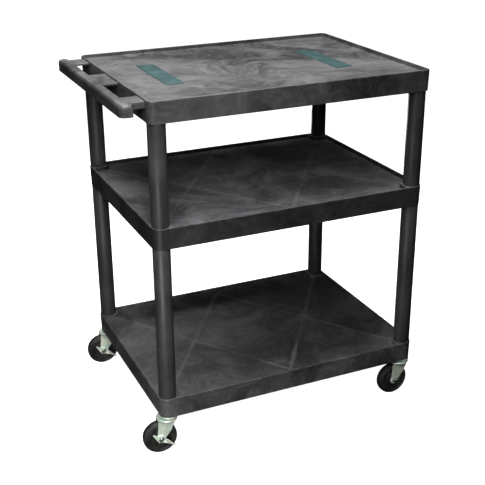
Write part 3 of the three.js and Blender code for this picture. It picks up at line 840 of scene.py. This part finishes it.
def fork(c, material):
    """Crown with rolled edges, drawn back over the wheel, and its two arms."""
    high = CROWN_LOW + CROWN_HEIGHT
    profile = [
        (0, CROWN_LOW), (CROWN_RADIUS - 5, CROWN_LOW), (CROWN_RADIUS - 1.5, CROWN_LOW + 1.6),
        (CROWN_RADIUS, CROWN_LOW + 4), (CROWN_RADIUS, high - 2), (CROWN_RADIUS - 2, high),
        (0, high),
    ]
    crown = turned(fillet(profile, [0, 2.5, 2, 1.5, 1.5, 1.2, 0], 3, closed=False), 72)
    crown.transform(Matrix.Translation((-CROWN_OFFSET, 0, 0)))
    obj = make_object(f"fork_{c.name}_shell", crown, material, c.at_stem)
    for side in (-1, 1):
        boolean(obj, fork_arm(c, side), "UNION")
    boolean(obj, drill(PIN_HOLE, 90, 130, c.at_stem), "DIFFERENCE")
    boolean(obj, drill(AXLE_HOLE, -30, 30, c.at_axle), "DIFFERENCE")
    obj.data.shade_smooth()
    obj.data.set_sharp_from_angle(angle=math.radians(35))
    return weighted(obj)


def hex_prism(low, high, ease):
    """A hexagon nut blank about Z with its corners turned down at both ends."""
    flat = NUT_ACROSS / 2
    corner = flat / math.cos(math.radians(30))
    loops = []
    steps = 8
    for z, limit in ((low, flat), (low + ease, corner), (high - ease, corner), (high, flat)):
        loop = []
        for i in range(6 * steps):
            a = 2 * math.pi * i / (6 * steps)
            reach = flat / math.cos((a % math.radians(60)) - math.radians(30))
            r = min(reach, limit * 0.96 if limit == flat else limit)
            loop.append((r * math.cos(a), r * math.sin(a), z))
        loops.append(loop)
    return skin(loops)


def nut_seat(c):
    """How far from the wheel's middle plane the nut sits: past the fork and any pedal."""
    stack = FORK_OUTER + (FIT_GAP + BRAKE_SHEET if c.brake else 0.0)
    return stack + FIT_GAP


def axle_bolt(c, material):
    """Bolt with a washer-faced head on the far side and a short threaded tail."""
    head = -(FORK_OUTER + FIT_GAP)
    tail = nut_seat(c) + NUT_HEIGHT + BOLT_TAIL
    profile = [(0, head - 4.2), (3, head - 4.2), (AXLE_RADIUS, head - 1), (AXLE_RADIUS, head)]
    z = tail - 7.0
    profile.append((AXLE_RADIUS, z))
    while z < tail - 1.2:  # the thread, as a ridge a millimetre
        profile += [(AXLE_RADIUS, z + 0.3), (3.45, z + 0.65)]
        z += 1.0
    profile += [(3.9, tail - 1.0), (3.2, tail), (0, tail)]
    bm = turned(profile, 40)
    merge(bm, hex_prism(head - NUT_HEIGHT, head - 0.8, 0.7))
    washer = [(3.9, head - 1.0), (7.2, head - 1.0), (7.2, head), (3.9, head)]
    turned(fillet(washer, [0, 0.3, 0.3, 0], 2), 48, bm, close_path=True)
    return make_object(f"axle_bolt_{c.name}_shell", bm, material, c.at_axle)


def axle_nut(c, material):
    """A plain hexagon nut with a clear bore round the bolt."""
    seat = nut_seat(c)
    blank = hex_prism(seat, seat + NUT_HEIGHT, 0.7)
    obj = make_object(f"axle_nut_{c.name}_shell", blank, material, c.at_axle)
    return boolean(obj, drill(4.2, seat - 2, seat + 8, c.at_axle), "DIFFERENCE")


def bushing(c, material):
    """The sleeve on the bolt that the fork's arms clamp and the wheel turns on."""
    end = FORK_INNER - FIT_GAP
    section = [(AXLE_HOLE, -end), (BUSHING_RADIUS, -end), (BUSHING_RADIUS, end), (AXLE_HOLE, end)]
    profile = fillet(section, 0.3, 2)
    bm = turned(profile, 48, close_path=True)
    return make_object(f"bushing_{c.name}_shell", bm, material, c.at_axle)


def mirrored_profile(half):
    """A closed wheel section from its points on one side, mirrored across the middle plane."""
    return half + [(r, -z) for r, z in reversed(half)]


def wheel_core(c, material):
    """Moulded wheel centre: hub, dished web with ring steps, and a rim."""
    hub = FORK_INNER - 1
    half = [
        (BUSHING_RADIUS + 0.3, hub), (10.5, hub), (12, hub - 1.2), (12.6, 7.0), (16, 6.0), (19, 5.4),
        (19.6, 6.3), (21, 6.3), (21.6, 5.2), (26.5, 5.0), (28.6, 7.0), (29.6, RIM_HALF),
        (TYRE_BORE - 0.3, RIM_HALF),
    ]
    profile = fillet(mirrored_profile(half), 0.6, 2)
    bm = turned(profile, 72, close_path=True)
    return make_object(f"wheel_core_{c.name}_shell", bm, material, c.at_axle)


def tyre(c, material):
    """Rubber tread with rounded shoulders and concentric ridges on both sides."""
    outer = c.axle_z
    side = TYRE_HALF
    half = [(TYRE_BORE, side - 1.6), (35.6, side - 0.7)]
    for k in range(3):
        r = 36.8 + 2.3 * k
        half += [(r, side - 0.9), (r + 0.6, side), (r + 1.3, side), (r + 1.9, side - 0.9)]
    half += [(outer - 4.2, side - 0.6), (outer - 2.2, side - 2.0), (outer - 0.9, side - 4.2)]
    half += [(outer - 0.25, side - 6.5), (outer, side - 9.5)]
    profile = fillet(mirrored_profile(half), 0.35, 2)
    bm = turned(profile, 128, close_path=True)
    return make_object(f"tyre_{c.name}_shell", bm, material, c.at_axle, 40)


def brake_pedal(c, material):
    """Pressed rocker on the axle: a release wing behind, a long lock wing in front."""
    near = -(FORK_OUTER + FIT_GAP + BRAKE_SHEET)
    far = -(FORK_OUTER + FIT_GAP)
    t, z = -c.trail, c.axle_z
    turns = [math.radians(d) for d in range(18, 137, 14)]
    head = [(BRAKE_HEAD * math.cos(a), BRAKE_HEAD * math.sin(a)) for a in turns]
    lower = [RELEASE_TIP, RELEASE_HEEL, (0, -11), (22, -18), (38, -28.5), LOCK_TIP, LOCK_SHOULDER]
    rounded = fillet(lower + head, [1, 3, 6, 8, 1.5, 1, 3] + [0] * len(head), 3)
    bm = plate([(x + t, y + z) for x, y in rounded], near, far, 0.4)
    half = BRAKE_SHEET / 2
    for start, end in ((RELEASE_TIP, RELEASE_HEEL), (LOCK_TIP, LOCK_SHOULDER)):
        length = math.hypot(end[0] - start[0], end[1] - start[1])
        angle = math.atan2(end[1] - start[1], end[0] - start[0])
        lay = Matrix.Translation((start[0] + t, 0, start[1] + z)) @ Matrix.Rotation(-angle, 4, "Y")
        merge(bm, block((0.5, near - BRAKE_FLANGE, -half), (length, near + 1.5, half), 0.6), lay)
        ridge = 3.0
        while ridge < min(length, 22) - 1:
            top = near - BRAKE_FLANGE + 0.5
            bar = block((ridge, top, -half - 0.5), (ridge + 1.3, near - 0.6, half + 0.5), 0.3, 1)
            merge(bm, bar, lay)
            ridge += 3.6
    obj = make_object(f"brake_pedal_{c.name}_shell", bm, material, c.at_stem)
    return boolean(obj, drill(AXLE_HOLE, 10, 40, c.at_axle), "DIFFERENCE")


# ------------------------------------------------------------------ assembly
def settle(obj, body, slot, *nodes):
    """Put a finished piece on its body and hide the nodes it replaces; slot is not used."""
    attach(obj, body)
    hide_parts(*nodes)


JOINTS = {joint["name"]: joint for joint in frame["joints"]}
low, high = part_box("middle_shelf")
SHELF_HALF_X = (high.x - low.x) / 2 / MM
SHELF_MIDDLE_X = (high.x + low.x) / 2
SHELF_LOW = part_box("bottom_shelf")[0].z / MM
leg_low, leg_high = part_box("upper_leg_back_right")
LEG_X = ((leg_low.x + leg_high.x) / 2 - SHELF_MIDDLE_X) / MM
LEG_Y = (leg_low.y + leg_high.y) / 2 / MM
EDGE_CORNER = SHELF_HALF_X - LEG_X
HANDLE_REACH = (low.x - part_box("top_shelf")[0].x) / MM
RACE_LOW = SHELF_LOW - FIT_GAP - RACE_HEIGHT
CROWN_LOW = RACE_LOW - FIT_GAP - CROWN_HEIGHT
HEAD_LOW = CROWN_LOW - FIT_GAP - HEAD_HEIGHT

foam = {  # dark and light colours, strength of the rib lines, paling of the faces that look up; the colours and paling differ by shelf as painted light and shade on one plastic
    "top_shelf": ((0.013, 0.013, 0.014), (0.089, 0.089, 0.090), 0.0, 2.2),
    "middle_shelf": ((0.009, 0.009, 0.010), (0.046, 0.046, 0.047), 0.45, 5.1),
    "bottom_shelf": ((0.018, 0.018, 0.019), (0.112, 0.112, 0.113), 0.7, 0.95),
}
for node, (dark, light, ribs, painted_deck_light) in foam.items():
    is_top = node == "top_shelf"
    shelf = Shelf(node, LEG_X, LEG_Y, TOP_CORNER if is_top else EDGE_CORNER, not is_top)
    lattice = (SHELF_MIDDLE_X, LEG_X * MM, LEG_Y * MM)
    plastic = foam_plastic(f"foam_{node}", dark, light, *lattice, ribs, painted_deck_light)
    body = build_shelf(shelf, plastic, stem_bores=node == "bottom_shelf")
    if is_top:
        add_handle(body, shelf, HANDLE_REACH, plastic)
    body.data.shade_smooth()
    body.data.set_sharp_from_angle(angle=math.radians(35))
    settle(weighted(body), "root", "shelf_plastic", node)

tube = tube_plastic("leg_plastic")
for tier in ("lower_leg", "upper_leg"):
    for corner in CORNERS:
        node = f"{tier}_{corner}"
        settle(leg_tube(node + "_tube", node, tube), "root", "leg_plastic", node)

strip = teal_strip("grip_strip")
for node in ("grip_pad_left", "grip_pad_right"):
    settle(grip_pad(node + "_strip", node, strip), "root", "grip_pad", node)

plated = zinc("zinc_plate")
steel = bright_steel("axle_steel")
core_look = black_rubber("wheel_core", (0.010, 0.010, 0.010), (0.028, 0.028, 0.027), 0.42, 0.58)
tyre_look = black_rubber("tyre_rubber", (0.009, 0.009, 0.009), (0.030, 0.029, 0.027), 0.50, 0.72)
for corner in CORNERS:
    c = Caster(corner, JOINTS)
    swivel, wheel = f"swivel_{corner}", f"wheel_{corner}"
    settle(race(c, plated), "root", "zinc_plate", f"swivel_race_{corner}")
    settle(fork(c, plated), swivel, "zinc_plate", f"fork_{corner}")
    settle(axle_bolt(c, steel), swivel, "axle_steel", f"axle_bolt_{corner}")
    settle(axle_nut(c, steel), swivel, "axle_steel", f"axle_nut_{corner}")
    settle(bushing(c, steel), swivel, "axle_steel", f"bushing_{corner}")
    settle(wheel_core(c, core_look), wheel, "wheel_core", f"wheel_core_{corner}")
    settle(tyre(c, tyre_look), wheel, "tyre_rubber", f"tyre_{corner}")
    if c.brake:
        settle(brake_pedal(c, plated), f"brake_{corner}", "zinc_plate", f"brake_pedal_{corner}")


# ------------------------------------------------------------------ floor, light and camera
CAMERA_AZIMUTH = -24.161
CAMERA_ELEVATION = 22.776
CAMERA_ROLL = -0.404
CAMERA_DISTANCE = 2.893
CAMERA_TARGET = Vector((0.00975, 0.0, 0.46435))
CAMERA_LENS = 70.784
FLOOR_HALF = 30000.0  # millimetres
FLOOR_GLOW = 1.0
SKY_LOW = 0.05
SKY_HIGH = 0.72
SKY_LEAN = 0.55


def pale_floor():
    """A white sweep that glows a little, so that it stays white behind a dark object."""
    bm = bmesh.new()
    bmesh.ops.create_grid(bm, x_segments=2, y_segments=2, size=FLOOR_HALF)
    n = Nodes("pale_floor")
    cast = n.noise(0.6, 2.0)
    color = n.mix(n.ramp(cast, 0.3, 0.7), (0.90, 0.90, 0.90), (0.92, 0.92, 0.92))
    look = n.finish(color, Roughness=0.9)
    n.bsdf.inputs["Emission Color"].default_value = (1.0, 1.0, 1.0, 1.0)
    n.bsdf.inputs["Emission Strength"].default_value = FLOOR_GLOW
    floor = make_object("floor", bm, look)
    floor.visible_glossy = False
    floor.visible_diffuse = False


def area_light(name, place, aim, size, power, spread=180):
    """A soft rectangular lamp at place that faces aim; spread is in degrees."""
    light = bpy.data.lights.new(name, "AREA")
    light.shape = "RECTANGLE"
    light.size, light.size_y = size
    light.energy = power
    light.spread = math.radians(spread)
    obj = bpy.data.objects.new(name, light)
    obj.location = place
    obj.rotation_euler = (Vector(aim) - Vector(place)).to_track_quat("-Z", "Y").to_euler()
    bpy.context.scene.collection.objects.link(obj)


def studio_world():
    """Soft light from above that falls away towards the ground, before a white backdrop."""
    world = bpy.data.worlds.new("studio")
    bpy.context.scene.world = world
    world.use_nodes = True
    tree = world.node_tree
    place = tree.nodes.new("ShaderNodeTexCoord")
    split = tree.nodes.new("ShaderNodeSeparateXYZ")
    tree.links.new(place.outputs["Generated"], split.inputs["Vector"])
    height = tree.nodes.new("ShaderNodeMapRange")
    height.interpolation_type = "SMOOTHSTEP"
    height.inputs["From Min"].default_value = -0.1
    height.inputs["From Max"].default_value = 0.9
    height.inputs["To Min"].default_value = SKY_LOW
    height.inputs["To Max"].default_value = SKY_HIGH
    tree.links.new(split.outputs["Z"], height.inputs["Value"])
    side = tree.nodes.new("ShaderNodeMapRange")
    side.inputs["From Min"].default_value = -1.0
    side.inputs["From Max"].default_value = 1.0
    side.inputs["To Min"].default_value = 1.0 + SKY_LEAN
    side.inputs["To Max"].default_value = 1.0 - SKY_LEAN
    tree.links.new(split.outputs["X"], side.inputs["Value"])
    product = tree.nodes.new("ShaderNodeMath")
    product.operation = "MULTIPLY"
    tree.links.new(height.outputs["Result"], product.inputs[0])
    tree.links.new(side.outputs["Result"], product.inputs[1])
    sky = tree.nodes["Background"]
    tree.links.new(product.outputs["Value"], sky.inputs["Strength"])
    backdrop = tree.nodes.new("ShaderNodeBackground")
    backdrop.inputs["Color"].default_value = (1.0, 1.0, 1.0, 1.0)
    seen = tree.nodes.new("ShaderNodeLightPath")
    mixed = tree.nodes.new("ShaderNodeMixShader")
    tree.links.new(seen.outputs["Is Camera Ray"], mixed.inputs["Fac"])
    tree.links.new(sky.outputs["Background"], mixed.inputs[1])
    tree.links.new(backdrop.outputs["Background"], mixed.inputs[2])
    tree.links.new(mixed.outputs["Shader"], tree.nodes["World Output"].inputs["Surface"])


def photo_camera():
    """The camera, on a sphere about its target."""
    data = bpy.data.cameras.new("camera")
    data.sensor_width = 36.0
    data.lens = CAMERA_LENS
    data.clip_end = 200.0
    camera = bpy.data.objects.new("camera", data)
    azimuth, elevation = math.radians(CAMERA_AZIMUTH), math.radians(CAMERA_ELEVATION)
    back = Vector((
        math.sin(azimuth) * math.cos(elevation),
        -math.cos(azimuth) * math.cos(elevation),
        math.sin(elevation),
    ))
    camera.location = CAMERA_TARGET + back * CAMERA_DISTANCE
    aim = back.to_track_quat("Z", "Y").to_matrix().to_4x4()
    roll = Matrix.Rotation(math.radians(CAMERA_ROLL), 4, "Z")
    camera.rotation_euler = (aim @ roll).to_euler()
    bpy.context.scene.collection.objects.link(camera)
    bpy.context.scene.camera = camera


pale_floor()
studio_world()
area_light("key", (-0.4, -0.4, 3.2), (0, 0, 0.9), (2.0, 2.0), 124)
area_light("front", (-0.8, -1.4, 1.7), (-0.45, -0.3, 0.75), (0.7, 0.7), 6, 80)
area_light("low", (-1.0, -1.3, 0.22), (-0.4, -0.3, 0.15), (0.4, 0.4), 1.9, 80)
area_light("back", (0.35, 2.4, 0.3), (0, 0, 0.6), (0.9, 0.3), 20)
photo_camera()
bpy.context.scene.view_settings.view_transform = "Standard"
